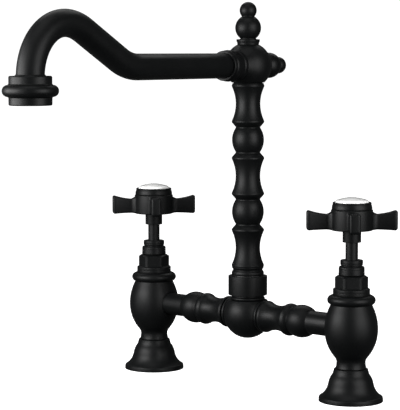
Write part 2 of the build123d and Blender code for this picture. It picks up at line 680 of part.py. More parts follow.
with BuildPart() as outlet_collar:
    bend_z = (drop @ 1).Y           # where the tube has come round to plumb
    turn(
        OUTLET,
        (AERATOR_THREAD + SEATED, OUTLET_Z), (13.4, OUTLET_Z),
        ((14.1, OUTLET_Z + 0.3), (14.35, OUTLET_Z + 1.0)), (14.4, OUTLET_Z + 5.1), (15.0, OUTLET_Z + 5.6),
        ((18.75, 234.2), (15.2, 238.0)), ((14.6, 238.4), (14.35, 239.0)),
        (14.35, 243.2), (13.8, 243.9), (10.8, 244.0),
        ((10.2, 244.2), (TUBE_RADIUS + 0.35, 244.8)),
        (TUBE_RADIUS + 0.35, bend_z), (TUBE_RADIUS + SEATED, bend_z),
        (TUBE_RADIUS + SEATED, TUBE_END_Z - 0.1), (TUBE_RADIUS - TUBE_WALL, TUBE_END_Z - 0.1),
        (TUBE_RADIUS - TUBE_WALL, 234.1), (AERATOR_THREAD + SEATED, 234.1),
    )
save("outlet_collar", outlet_collar.part)

with BuildPart() as aerator_washer:
    turn(OUTLET, (8.3, 232.8), (11.0, 232.8), (11.0, 234.05), (8.3, 234.05))
save("aerator_washer", aerator_washer.part)

with BuildPart() as aerator_body:
    turn(
        OUTLET,
        (8.9, OUTLET_Z + 0.6), (10.5, OUTLET_Z + 0.6), (AERATOR_THREAD, OUTLET_Z + 1.2),
        (AERATOR_THREAD, 232.7), (8.3, 232.7), (8.3, 228.3), (8.9, 228.3),
    )
save("aerator_body", aerator_body.part)

with BuildPart() as aerator_screen:
    with BuildSketch(Plane(on_spout(OUTLET_REACH, 226.9))):
        Circle(8.85)
        with GridLocations(2.8, 2.8, 5, 5):
            Rectangle(1.6, 1.6, mode=Mode.SUBTRACT)
    extrude(amount=1.3)
save("aerator_screen", aerator_screen.part)
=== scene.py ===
# %% [markdown]
# # A black bridge faucet, dressed for the photograph
# The CAD model of this kitchen faucet is already exact: two valve columns on the counter, a
# turned bridge between them, and a swinging spout on a turned riser. This notebook loads it as
# a fixed frame and gives nearly every visible piece a finer skin: soft edges, smooth turned forms
# and the satin black coat of the real one. Nothing here moves a CAD piece or changes its size.

# %% Load the frame
import json
from math import atan2, ceil, cos, degrees, hypot, radians, sin, sqrt, tau

import bmesh
import bpy
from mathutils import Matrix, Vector


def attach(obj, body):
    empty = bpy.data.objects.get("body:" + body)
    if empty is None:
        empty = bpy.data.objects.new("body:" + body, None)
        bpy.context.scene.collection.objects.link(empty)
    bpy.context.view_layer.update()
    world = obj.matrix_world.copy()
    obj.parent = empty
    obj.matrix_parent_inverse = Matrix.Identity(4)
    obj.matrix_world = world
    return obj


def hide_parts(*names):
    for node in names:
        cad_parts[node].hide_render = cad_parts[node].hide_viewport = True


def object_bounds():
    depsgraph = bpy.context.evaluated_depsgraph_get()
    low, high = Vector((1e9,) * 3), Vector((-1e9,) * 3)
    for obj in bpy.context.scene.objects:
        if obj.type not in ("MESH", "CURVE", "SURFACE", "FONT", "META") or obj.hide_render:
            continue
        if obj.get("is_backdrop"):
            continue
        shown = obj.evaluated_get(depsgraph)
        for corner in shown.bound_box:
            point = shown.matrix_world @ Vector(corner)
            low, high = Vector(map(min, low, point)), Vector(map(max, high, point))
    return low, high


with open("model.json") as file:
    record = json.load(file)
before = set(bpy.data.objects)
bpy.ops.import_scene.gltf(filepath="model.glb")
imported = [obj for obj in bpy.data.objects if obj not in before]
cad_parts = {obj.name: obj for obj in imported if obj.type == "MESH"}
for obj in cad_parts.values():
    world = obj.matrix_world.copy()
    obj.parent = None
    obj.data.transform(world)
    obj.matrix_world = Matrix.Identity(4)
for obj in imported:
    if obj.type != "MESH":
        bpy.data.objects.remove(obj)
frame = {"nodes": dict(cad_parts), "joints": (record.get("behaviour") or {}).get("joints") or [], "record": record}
nodes = frame["nodes"]
cad_low, cad_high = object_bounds()
print("CAD pieces:", len(nodes), "box in mm:", [round(v * 1000) for v in cad_high - cad_low])

# %% [markdown]
# ## Sizes
# The outlines below are written in millimetres, because that is how a turner thinks of them,
# and one factor turns them into Blender's metres. The heights are above the counter and the
# radii are measured from the axis that a piece is turned on.

# %% Driving sizes
MM = 0.001
COLUMN_X = frame["joints"][-1]["pos_m"][0] / MM      # of the cold column; the hot one is opposite
BRIDGE_Z = 55.0              # height of the bridge's axis
HEAD_Z = 248.8               # height of the middle of the head ball
SPOUT_SWING = 7.0            # degrees from -Y towards +X
HOT_TURN, COLD_TURN = 47.5, 41.5       # the same for one arm of each cross handle
HEX_TURN = 43.0              # the same for one flat of the bonnets' hexagons
UP = Vector((0, 0, 1))
OUT = Vector((sin(radians(SPOUT_SWING)), -cos(radians(SPOUT_SWING)), 0))  # the spout's way
print("columns at", -COLUMN_X, "and", COLUMN_X, "mm")

# %% [markdown]
# ## Shader groups
# All finishes of this faucet share one kind of skin. Powder coat dries with a fine orange peel,
# and its gloss changes a little from place to place, and so it is, at other scales, with glaze,
# cast metal and moulded plastic. A node group holds that once, and each material sets its own
# scale and strength. The group only puts out numbers that change over the surface, and the
# shaders stay in the materials, where the exporter can read them.


# %% The skin group
def new_group(name, inputs, outputs):
    """An empty shader node group with named inputs, each with a value, and named outputs."""
    group = bpy.data.node_groups.new(name, "ShaderNodeTree")
    for label, value in inputs:
        socket = group.interface.new_socket(label, in_out="INPUT", socket_type="NodeSocketFloat")
        socket.default_value = value
    for label in outputs:
        group.interface.new_socket(label, in_out="OUTPUT", socket_type="NodeSocketFloat")
    return group


def add(tree, kind, **settings):
    """A node with its settings. A socket's name sets that socket's value or source."""
    node = tree.nodes.new(kind)
    for label, value in settings.items():
        socket = node.inputs.get(label.replace("_", " ")) if label[0].isupper() else None
        if socket is None:
            setattr(node, label, value)
        elif isinstance(value, bpy.types.NodeSocket):
            tree.links.new(value, socket)
        else:
            socket.default_value = value
    return node


def fine_skin():
    """A fine height and a cloudy patchiness, both 0 to 1 and read from Object coordinates."""
    group = new_group("fine_skin", (("Grain Size mm", 0.8), ("Patch Size mm", 30.0)),
                      ("Height", "Patches"))
    given = add(group, "NodeGroupInput")
    result = add(group, "NodeGroupOutput")
    spot = add(group, "ShaderNodeTexCoord").outputs["Object"]
    for size, out, detail in (("Grain Size mm", "Height", 2.0), ("Patch Size mm", "Patches", 3.0)):
        scale = add(group, "ShaderNodeMath", operation="DIVIDE")
        scale.inputs[0].default_value = 1 / MM
        group.links.new(given.outputs[size], scale.inputs[1])
        noise = add(group, "ShaderNodeTexNoise", Vector=spot, Scale=scale.outputs[0],
                    Detail=detail, Roughness=0.5)
        group.links.new(noise.outputs["Fac"], result.inputs[out])
    return group


SKIN = fine_skin()
print("group:", SKIN.name, [s.name for s in SKIN.interface.items_tree])

# %% [markdown]
# ## Finishes
# Every finish is the same small recipe: two close colours mixed by the patches, a roughness that
# wanders between two values, and a bump from the grain. What makes one black coat and another
# porcelain is only the numbers, so one function makes them all. Values that are the same all
# over, such as the coat of the glaze, are set straight on the shader. The black coat reflects
# much less than bare paint would, because powder coat is slightly rough all over.


# %% One recipe, many finishes
PATCH_MM = 30.0              # width of a patch of gloss, the same on every finish
COLOUR_A, COLOUR_B = 6, 7    # a Mix node's colour sockets, which share their names with others


def finish(name, low, high, rough, grain_mm, bump_mm, **fixed):
    """A material: colours low to high and roughness by patches, and a bump in millimetres."""
    material = bpy.data.materials.new(name)
    material.use_nodes = True
    tree = material.node_tree
    shader = tree.nodes["Principled BSDF"]
    skin = add(tree, "ShaderNodeGroup", node_tree=SKIN)
    skin.inputs["Grain Size mm"].default_value = grain_mm
    skin.inputs["Patch Size mm"].default_value = PATCH_MM
    colour = add(tree, "ShaderNodeMix", data_type="RGBA")
    colour.inputs[COLOUR_A].default_value = (*low, 1)
    colour.inputs[COLOUR_B].default_value = (*high, 1)
    tree.links.new(skin.outputs["Patches"], colour.inputs[0])
    tree.links.new(colour.outputs[2], shader.inputs["Base Color"])
    gloss = add(tree, "ShaderNodeMapRange", Value=skin.outputs["Patches"])
    for label, value in zip(("From Min", "From Max", "To Min", "To Max"), (0.3, 0.7, *rough)):
        gloss.inputs[label].default_value = value
    tree.links.new(gloss.outputs["Result"], shader.inputs["Roughness"])
    bump = add(tree, "ShaderNodeBump", Distance=bump_mm * MM, Height=skin.outputs["Height"])
    tree.links.new(bump.outputs["Normal"], shader.inputs["Normal"])
    for label, value in fixed.items():
        shader.inputs[label.replace("_", " ")].default_value = value
    return material


# %% The finishes of this faucet
FINISHES = {
    "black_coat": finish(
        "satin_black_coat", (0.0023, 0.0027, 0.0028), (0.0036, 0.0039, 0.0041), (0.36, 0.44),
        0.7, 0.004, Specular_IOR_Level=0.135),
    "porcelain": finish(
        "white_porcelain", (0.86, 0.86, 0.85), (0.92, 0.92, 0.91), (0.08, 0.14),
        4.0, 0.004, Coat_Weight=0.6, Coat_Roughness=0.04),
    "brass": finish(
        "bare_brass", (0.62, 0.43, 0.17), (0.72, 0.52, 0.24), (0.24, 0.36),
        0.4, 0.003, Metallic=1.0),
    "rubber": finish(
        "black_rubber", (0.012, 0.012, 0.012), (0.022, 0.022, 0.022), (0.6, 0.75), 0.5, 0.01),
    "disc_ceramic": finish(
        "lapped_alumina", (0.74, 0.72, 0.66), (0.82, 0.81, 0.76), (0.25, 0.32), 0.3, 0.001),
    "cage_nylon": finish(
        "natural_nylon", (0.68, 0.68, 0.65), (0.76, 0.76, 0.73), (0.42, 0.52), 0.9, 0.006),
    "bush_plastic": finish(
        "black_acetal", (0.015, 0.015, 0.015), (0.02, 0.02, 0.02), (0.3, 0.4), 0.6, 0.003),
    "steel": finish(
        "stainless_steel", (0.42, 0.42, 0.43), (0.5, 0.5, 0.51), (0.22, 0.34),
        0.3, 0.002, Metallic=1.0),
    "aerator_plastic": finish(
        "grey_plastic", (0.3, 0.31, 0.32), (0.36, 0.37, 0.38), (0.35, 0.45), 0.8, 0.004),
}
for entry in frame["record"]["subparts"]:
    node = nodes[entry["node"]]
    node.data.materials.clear()
    node.data.materials.append(FINISHES[entry["material_slot"]])
print("finishes:", sorted(FINISHES))

# %% [markdown]
# ## Turning
# Nearly all of this faucet is lathe work, so the main tool is a lathe: an outline of radius and
# height, spun round an axis. The outline is a list of points, and a pair of points stands for an
# arc, through the first to the second. Real edges are never knife-sharp, and on a black object
# they are all that catches the light, so each corner is first rounded by part of a millimetre.
# Blender's Screw modifier could spin an outline too. A short function is used instead, because
# it closes the ends that lie on the axis and takes any axis in space.


# %% Outlines with arcs and soft corners
def arc_points(start, middle, end, step=7.0):
    """Points on the arc from start through middle to end, step degrees apart, without start."""
    (ax, ay), (bx, by), (cx, cy) = start, middle, end
    d = 2 * (ax * (by - cy) + bx * (cy - ay) + cx * (ay - by))
    a2, b2, c2 = ax * ax + ay * ay, bx * bx + by * by, cx * cx + cy * cy
    ux = (a2 * (by - cy) + b2 * (cy - ay) + c2 * (ay - by)) / d
    uy = (a2 * (cx - bx) + b2 * (ax - cx) + c2 * (bx - ax)) / d
    first, via, last = (atan2(y - uy, x - ux) for x, y in (start, middle, end))
    turn = (last - first) % tau
    if (via - first) % tau > turn:
        turn -= tau
    radius, count = hypot(ax - ux, ay - uy), max(2, ceil(abs(degrees(turn)) / step))
    angles = [first + turn * k / count for k in range(1, count + 1)]
    return [(ux + radius * cos(angle), uy + radius * sin(angle)) for angle in angles]


def on_ball(radius, middle, narrow, side=1):
    """The height at which a ball has narrowed to a radius, above (1) or below (-1) its middle."""
    return middle + side * sqrt(radius ** 2 - narrow ** 2)


BLUNT = radians(25)          # a corner that turns less than this stays as it is
ON_AXIS = 1e-6               # a point nearer to the axis than this lies on it
MOST = 0.4                   # the share of a side that the rounding of one corner may use
ROUNDING = (0.0, 0.25, 0.5, 0.75, 1.0)     # where on a rounding its points lie


def soften(points, soft, closed=True):
    """The same outline with its sharper corners rounded over a length of soft."""
    result = []
    for k, here in enumerate(points):
        if not closed and k in (0, len(points) - 1):
            result.append(here)
            continue
        before, after = Vector(points[k - 1]), Vector(points[(k + 1) % len(points)])
        corner = Vector(here)
        into, out = corner - before, after - corner
        if min(here[0], into.length, out.length) < ON_AXIS or into.angle(out) < BLUNT:
            result.append(here)
            continue
        a = corner - into.normalized() * min(soft, into.length * MOST)
        b = corner + out.normalized() * min(soft, out.length * MOST)
        for t in ROUNDING:
            result.append(tuple(a * (1 - t) ** 2 + corner * 2 * t * (1 - t) + b * t ** 2))
    return result


def outline(*steps, soft=0.3, closed=True):
    """Points of an outline: a step is a point (radius, height) or an arc (middle, end)."""
    points = [steps[0]]
    for step in steps[1:]:
        points += arc_points(points[-1], *step) if isinstance(step[0], tuple) else [step]
    return soften(points, soft, closed)


# %% Spinning an outline
def spin(points, origin=(0, 0, 0), along=UP, sides=96, closed=True):
    """A bmesh of the outline spun round an axis, in metres. Points on the axis become poles."""
    along = Vector(along).normalized()
    across = Vector((1, 0, 0)) if abs(along.x) < 0.9 else Vector((0, 0, 1))
    across = (across - along * across.dot(along)).normalized()
    square = along.cross(across)
    rim = [across * cos(tau * k / sides) + square * sin(tau * k / sides) for k in range(sides)]
    mesh = bmesh.new()
    rings = []
    for radius, height in points:
        middle = Vector(origin) + along * height
        ways = rim if radius > ON_AXIS else [Vector((0, 0, 0))]
        rings.append([mesh.verts.new((middle + way * radius) * MM) for way in ways])
    for low, high in zip(rings, rings[1:] + rings[:1] if closed else rings[1:]):
        for k, after in zip(range(sides), range(1, sides + 1)):
            corners = list(dict.fromkeys((
                low[k % len(low)], low[after % len(low)],
                high[after % len(high)], high[k % len(high)])))
            if len(corners) > 2:
                mesh.faces.new(corners)
    bmesh.ops.recalc_face_normals(mesh, faces=mesh.faces)
    return mesh


print("outline and spin ready")


# %% From an outline to a piece
SHARP = radians(35)          # an edge that turns more than this stays sharp


def smooth(mesh):
    """The same mesh, shaded smooth up to its sharp edges."""
    mesh.shade_smooth()
    mesh.set_sharp_from_angle(angle=SHARP)
    return mesh


def to_mesh(work, name):
    """The bmesh as a smooth mesh."""
    mesh = bpy.data.meshes.new(name)
    work.to_mesh(mesh)
    work.free()
    return smooth(mesh)


def lathe(name, points, origin=(0, 0, 0), along=UP, **options):
    """The outline spun round an axis, as a smooth mesh."""
    return to_mesh(spin(points, origin, along, **options), name)


def put(name, data):
    """A new object in the scene, at its origin."""
    thing = bpy.data.objects.new(name, data)
    bpy.context.scene.collection.objects.link(thing)
    return thing


def place(mesh, name, body, slot, *replaced):
    """Puts a mesh in the scene with its finish, the body it rides on and the nodes it replaces."""
    piece = put(name, mesh)
    mesh.materials.clear()
    mesh.materials.append(FINISHES[slot])
    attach(piece, body)
    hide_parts(*replaced)


def turned(name, body, slot, points, origin=(0, 0, 0), along=UP):
    """A turned piece that stands for the CAD node of the same name."""
    place(lathe(name, points, origin, along), name + "_skin", body, slot, name)


print("lathe ready")

# %% [markdown]
# ## Boolean help
# A few turned pieces are cut or joined: a column has a port for the bridge, and a handle's hub
# grows four arms. Blender's Boolean modifier does that. The result is read back with
# new_from_object, so the piece ends as a plain mesh with no modifier left on it.


# %% Cut and join
def combine(mesh, other, operation):
    """The mesh and another: cut (DIFFERENCE), joined (UNION) or in common (INTERSECT)."""
    one, two = put("work", mesh), put("work", other)
    modifier = one.modifiers.new("combine", "BOOLEAN")
    modifier.object, modifier.operation, modifier.solver = two, operation, "EXACT"
    view = bpy.context.evaluated_depsgraph_get()
    result = bpy.data.meshes.new_from_object(one.evaluated_get(view))
    for thing in (one, two):
        bpy.data.objects.remove(thing)
    return smooth(result)


print("boolean help ready")

# %% [markdown]
# ## Feet and columns
# A foot is a bell-shaped cover that slides over the column's shank, and the column is an urn
# with a cap ring. Both could be shaped loop by loop in Edit Mode, but as outlines they stay
# truly round, and each ring is one or two numbers. The column's inside is turned too, and a
# short cylinder cut from its side makes the port that the bridge's arm is screwed into, with a
# mouth that is a little wider than the port.

# %% Feet
SIDES = (("hot", -1), ("cold", 1))     # each valve's name and the side of the middle it is on
foot = outline(
    (21.7, 0), (24.1, 0), (24.1, 1.3), (23.9, 1.5), (24.1, 1.7), (23.9, 2.8),
    ((23.6, 3.5), (22.9, 3.8)), ((18.9, 8.0), (17.0, 13.0)), ((15.9, 16.8), (13.7, 20.4)),
    (12.8, 23.7), ((12.6, 24.2), (12.1, 24.4)), (10.85, 24.4), (10.85, 19.6),
    ((13.7, 16.8), (14.7, 13.3)), ((17.2, 6.6), (21.7, 2.1)), soft=0.2)
for name, side in SIDES:
    turned(name + "_foot_flange", "base", "black_coat", foot, (side * COLUMN_X, 0, 0))
print("feet:", round(2 * max(radius for radius, _ in foot), 1), "mm across")

# %% Columns
column = outline(
    (7.5, 0), (10.8, 0), (10.8, 24.6), (11.5, 24.8), ((11.4, 25.4), (11.1, 26.4)), (10.85, 29.5),
    ((11.4, 31.5), (12.6, 33.2)), ((16.6, 39.3), (19.3, 47.0)), ((20.0, 54.6), (15.7, 71.8)),
    (15.5, 72.5), ((18.0, 75.9), (15.5, 79.2)), (14.9, 79.6), (9.75, 79.6), (9.75, 68.6),
    (11.0, 67.3), (11.0, 43.4), (5.7, 43.4), (5.7, 13.8), (7.5, 12.0), soft=0.25)
port = [(0, 9.5), (8.95, 9.5), (8.95, 16.6), (9.9, 20.5), (9.9, 21), (0, 21)]
for name, side in SIDES:
    urn = lathe(name + "_column", column, (side * COLUMN_X, 0, 0))
    hole = lathe("port", port, (side * COLUMN_X, 0, BRIDGE_Z), (-side, 0, 0), sides=48)
    place(combine(urn, hole, "DIFFERENCE"), name + "_column_skin", "base", "black_coat",
          name + "_column")
print("columns:", round(2 * max(radius for radius, _ in column), 1), "mm across")

# %% [markdown]
# ## Headwork
# Above each column stands the bonnet, with a round flange and a hexagon for the spanner, and on
# it the gland nut. A spanner hexagon is a six-sided prism whose upright edges are rounded and
# whose top corners are turned off by a cone. Here the prism is built from its twelve corners, a
# bevel rounds the edges, and what it has in common with the cone is kept.

# %% Bonnets
HEX_LOW, HEX_TOP = 84.7, 94.1
HEX_RADIUS = 12.95           # from the axis to a corner, before the corner is rounded
HEX_ROUND = 1.9              # how far from a corner its rounding starts


def hexagon_prism(x):
    """An upright prism with six rounded corners, with its axis at x."""
    prism = bmesh.new()
    start = radians(HEX_TURN - 90 + 30)
    low, top = ([prism.verts.new(Vector((
        x + HEX_RADIUS * cos(start + tau * k / 6), HEX_RADIUS * sin(start + tau * k / 6), z)) * MM)
        for k in range(6)] for z in (HEX_LOW, HEX_TOP))
    prism.faces.new(low[::-1])
    prism.faces.new(top)
    for k in range(6):
        prism.faces.new((low[k], low[(k + 1) % 6], top[(k + 1) % 6], top[k]))
    upright = [e for e in prism.edges if abs(e.verts[0].co.z - e.verts[1].co.z) > MM]
    bmesh.ops.bevel(prism, geom=upright, offset=HEX_ROUND * MM, segments=8, profile=0.5,
                    affect="EDGES")
    return to_mesh(prism, "hexagon")


bonnet = outline(
    (4.74, 68.6), (9.7, 68.6), (9.7, 79.6), (13.8, 79.7), (13.8, 81.7), (13.6, 81.9),
    (13.8, 82.1), (13.8, 83.6), ((13.5, 84.3), (13.0, 84.5)), (12.0, 85.1), (10.1, 85.1),
    (10.1, HEX_TOP), (7.4, HEX_TOP), (7.4, 98.5), (4.74, 98.5))
chamfer = outline((0, 84.6), (13.2, 84.6), (13.2, 92.3), (10.4, HEX_TOP), (0, HEX_TOP))
for name, side in SIDES:
    x = side * COLUMN_X
    lower = lathe("bonnet", bonnet, (x, 0, 0))
    hexagon = combine(hexagon_prism(x), lathe("cone", chamfer, (x, 0, 0)), "INTERSECT")
    place(combine(lower, hexagon, "UNION"), name + "_bonnet_skin", "base", "black_coat",
          name + "_bonnet")
print("bonnets: hexagon", round(HEX_TOP - HEX_LOW, 1), "mm high")

# %% Gland nuts
gland = outline(
    (7.45, HEX_TOP), (8.9, HEX_TOP), (9.0, 94.5), (9.8, 94.9), (9.65, 96.6), (9.65, 98.9),
    (9.45, 99.1), (9.65, 99.3), (9.55, 100.3), (9.1, 100.9), (8.2, 101.1),
    ((7.9, 101.5), (8.1, 102.0)), (8.45, 102.2), (8.45, 103.1), (8.15, 103.3), (8.5, 103.6),
    (8.4, 105.2), ((8.2, 105.65), (7.8, 105.8)), (4.74, 105.8), (4.74, 98.7), (7.45, 98.7),
    soft=0.15)
for name, side in SIDES:
    turned(name + "_gland_nut", "base", "black_coat", gland, (side * COLUMN_X, 0, 0))
print("headwork done")

# %% [markdown]
# ## Bridge
# The two arms are the same turned piece, pointing opposite ways from the centre ball: two rings,
# a long waist, a bead and a ball that ends in the stub that enters the column. The lathe takes
# any axis, so an arm that lies on its side needs no new tool. The centre ball carries a boss for
# the swivel. Its two flats, where the arms seat, lie across the ball's own axis and can't be
# turned with it, so they are cut.

# %% Arms
SEAT = 15.4                  # from the middle of the bridge to the flat that an arm seats on
BALL, BALL_MIDDLE, STUB = 12.55, 55.4, 8.9     # radius and place of an arm's ball, stub's radius
arm = outline(
    (5.7, 10.4), (7.9, 10.4), (7.9, SEAT), (11.4, SEAT), ((11.9, 16.5), (11.6, 17.6)),
    (10.6, 17.8), (10.6, 18.3), (11.8, 18.5), ((12.3, 19.9), (11.8, 21.5)),
    ((9.6, 30.9), (11.4, 40.1)), (11.7, 40.5), ((12.5, 43.1), (11.7, 45.8)), (10.6, 47.2),
    ((BALL, BALL_MIDDLE), (STUB, on_ball(BALL, BALL_MIDDLE, STUB))), (STUB, 90.0), (5.7, 90.0),
    soft=0.2)
for name, side in SIDES:
    turned(name + "_bridge_arm", "base", "black_coat", arm, (0, 0, BRIDGE_Z), (side, 0, 0))
print("bridge arms:", len(arm), "points in the outline")

# %% Centre ball and swivel
tee = lathe("tee", outline(
    (0, 36.15), ((18.85, 55.0), (15.0, 66.4)), (12.6, 66.5), ((13.4, 67.7), (12.6, 68.9)),
    (12.2, 69.1), (12.2, 81.0), (8.8, 81.0), (8.8, 60.9), (7.4, 60.9), (7.4, 50.0), (0, 50.0),
    soft=0.2))
seat = [(0, 9.1), (7.95, 9.1), (7.95, SEAT), (19, SEAT), (19, 20), (0, 20)]
for _, side in SIDES:
    cutter = lathe("seat", seat, (0, 0, BRIDGE_Z), (side, 0, 0), sides=48)
    tee = combine(tee, cutter, "DIFFERENCE")
place(tee, "centre_tee_skin", "base", "black_coat", "centre_tee")
turned("swivel_collar", "base", "black_coat", outline(
    (12.35, 70.4), (15.2, 70.4), (15.2, 85.4), (10.7, 85.4), (10.7, 81.0), (12.35, 81.0)))
print("bridge done")

# %% [markdown]
# ## Riser
# The riser follows a rule: a waist, then a ball, and again, one repeat every 56 millimetres. That
# is a job for Geometry Nodes. The script turns one waist and one ball as open strips, and the
# tree stacks them: points on a line, an instance of the strip on each, all made real and their
# meeting rings merged. Change the pitch or the number and the riser follows.


# %% Geometry node helpers
def new_tree(name, sockets):
    """An empty geometry node tree with named inputs: (label, socket type, value)."""
    tree = bpy.data.node_groups.new(name, "GeometryNodeTree")
    tree.interface.new_socket("Geometry", in_out="INPUT", socket_type="NodeSocketGeometry")
    for label, kind, value in (*sockets, ("Material", "NodeSocketMaterial", None)):
        socket = tree.interface.new_socket(label, in_out="INPUT", socket_type=kind)
        if value is not None:
            socket.default_value = value
    tree.interface.new_socket("Geometry", in_out="OUTPUT", socket_type="NodeSocketGeometry")
    return tree, add(tree, "NodeGroupInput")


def end_tree(tree, given, shape, merge=0.0):
    """The end of every tree: instances made real, rings that meet merged, the material set."""
    shape = add(tree, "GeometryNodeRealizeInstances", Geometry=shape).outputs[0]
    if merge:
        shape = add(tree, "GeometryNodeMergeByDistance", Geometry=shape, Distance=merge).outputs[0]
    paint = add(tree, "GeometryNodeSetMaterial", Geometry=shape,
                Material=given.outputs["Material"])
    add(tree, "NodeGroupOutput", Geometry=paint.outputs[0])
    print("tree:", tree.name, "with", len(tree.nodes), "nodes")
    return tree


def run_tree(tree, mesh, **values):
    """The mesh that the tree makes from mesh with these inputs, in the black coat."""
    base = put("work", mesh)
    modifier = base.modifiers.new("nodes", "NODES")
    modifier.node_group = tree
    values["Material"] = FINISHES["black_coat"]
    for item in tree.interface.items_tree:
        if item.in_out == "INPUT" and item.name.replace(" ", "_") in values:
            modifier[item.identifier] = values[item.name.replace(" ", "_")]
    view = bpy.context.evaluated_depsgraph_get()
    result = bpy.data.meshes.new_from_object(base.evaluated_get(view))
    bpy.data.objects.remove(base)
    return result


def face_out(mesh, name):
    """The mesh as a smooth one whose faces all look outwards."""
    work = bmesh.new()
    work.from_mesh(mesh)
    bmesh.ops.recalc_face_normals(work, faces=work.faces)
    return to_mesh(work, name)


# %% The stacking tree
def stack_tree():
    """Stacks strip A Count times, with strip B between, and merges them with what is given."""
    tree, given = new_tree("stack_strips", (
        ("Strip A", "NodeSocketObject", None), ("Strip B", "NodeSocketObject", None),
        ("Count", "NodeSocketInt", 3), ("Pitch", "NodeSocketFloat", 0.05)))
    join = add(tree, "GeometryNodeJoinGeometry")
    less = add(tree, "ShaderNodeMath", operation="SUBTRACT")
    tree.links.new(given.outputs["Count"], less.inputs[0])
    less.inputs[1].default_value = 1
    step = add(tree, "ShaderNodeCombineXYZ", Z=given.outputs["Pitch"])
    for label, count in (("Strip A", given.outputs["Count"]), ("Strip B", less.outputs[0])):
        line = add(tree, "GeometryNodeMeshLine", mode="OFFSET", Count=count,
                   Offset=step.outputs[0])
        item = add(tree, "GeometryNodeObjectInfo", transform_space="ORIGINAL",
                   Object=given.outputs[label])
        copies = add(tree, "GeometryNodeInstanceOnPoints", Points=line.outputs[0],
                     Instance=item.outputs["Geometry"])
        tree.links.new(copies.outputs[0], join.inputs[0])
    tree.links.new(given.outputs["Geometry"], join.inputs[0])
    return end_tree(tree, given, join.outputs[0], merge=0.02 * MM)


STACK = stack_tree()

# %% The riser's strips
REPEAT = 56.0                # from one waist to the next
FIRST_WAIST = 107.4          # height of the lowest waist's middle
CREST, WAIST = 12.4, 9.5     # radius at the ends and in the middle of a waist
REACH = 12.9                 # from the middle of a waist to its crest
BEAD, SWELL = 1.8, 0.25      # length of the bead past each crest, and how far it stands out
BALL_REACH = 10.5            # from the middle of a ball to the notch at its end
BALL_END = REPEAT / 2 - REACH - BEAD       # from the middle of a ball to the bead beside it
waist = outline(
    (CREST, -REACH - BEAD), ((CREST + SWELL, -REACH - 1.0), (CREST, -REACH)),
    ((WAIST, 0), (CREST, REACH)), ((CREST + SWELL, REACH + 1.0), (CREST, REACH + BEAD)),
    closed=False)
riser_ball = outline(
    (CREST, -BALL_END), (10.0, -BALL_REACH), ((9.55, -9.9), (9.8, -9.0)),
    ((CREST, 0), (9.8, 9.0)), ((9.55, 9.9), (10.0, BALL_REACH)), (CREST, BALL_END), closed=False)
riser_ends = outline(
    (CREST, FIRST_WAIST - REACH - BEAD), ((12.4, 92.0), (12.15, 91.3)), (11.5, 90.5),
    (11.5, 89.6), (12.0, 89.3), ((12.6, 87.6), (12.3, 85.95)), (6.2, 85.95), (6.2, 242.1),
    (7.85, 242.1), (7.85, 235.8), (11.2, 235.8), (11.4, 235.3), (12.1, 235.1),
    (CREST, FIRST_WAIST + 2 * REPEAT + REACH + BEAD), closed=False, soft=0.2)
print("strips:", len(waist), len(riser_ball), "and", len(riser_ends), "points")

# %% Stacking the riser
strips = []
for name, points, middle in (("waist", waist, FIRST_WAIST),
                             ("ball", riser_ball, FIRST_WAIST + REPEAT / 2)):
    strips.append(put(name, lathe(name, points, (0, 0, middle), closed=False)))
riser = run_tree(STACK, lathe("riser_ends", riser_ends, closed=False), Strip_A=strips[0],
                 Strip_B=strips[1], Count=3, Pitch=REPEAT * MM)
for strip in strips:
    bpy.data.objects.remove(strip)
place(face_out(riser, "riser"), "riser_skin", "spout", "black_coat", "riser")
print("riser done:", len(riser.polygons), "faces")

# %% [markdown]
# ## Head and spout
# The head is a ball with a neck towards the spout and two ornaments, one on top and one behind.
# The spout itself is a bent pipe, so it is swept. A curve drawn by hand would do, but a pipe
# bender makes true arcs, so the script works out the middle line from straights and bends, and
# a node tree turns that line into a pipe of a given radius.

# %% Head
HEAD_BALL = 18.2             # the head ball's radius
HEAD_FLATS = ((UP, 9.4, 16.0), (-OUT, 9.4, 16.0), (-UP, 19.0, 13.0))     # way, radius, distance
head = lathe("head", outline((0, -HEAD_BALL), ((HEAD_BALL, 0), (0, HEAD_BALL))), (0, 0, HEAD_Z))
neck = lathe("neck", outline(
    (0, 7.5), (13.0, 7.5), (13.7, 12.0), ((12.0, 14.0), (10.8, 15.4)), (10.8, 15.6),
    (11.2, 15.9), ((11.9, 17.9), (11.45, 20.0)), (11.1, 20.3), (11.1, 25.8), (0, 25.8)),
    (0, 0, HEAD_Z), OUT)
head = combine(head, neck, "UNION")
for axis, radius, flat in HEAD_FLATS:
    cutter = [(0, flat), (radius, flat), (radius, 20), (0, 20)]
    head = combine(head, lathe("flat", cutter, (0, 0, HEAD_Z), axis, sides=64), "DIFFERENCE")
place(head, "head_ball_skin", "spout", "black_coat", "head_ball")
print("head: a ball of", 2 * HEAD_BALL, "mm with", len(HEAD_FLATS), "flats")

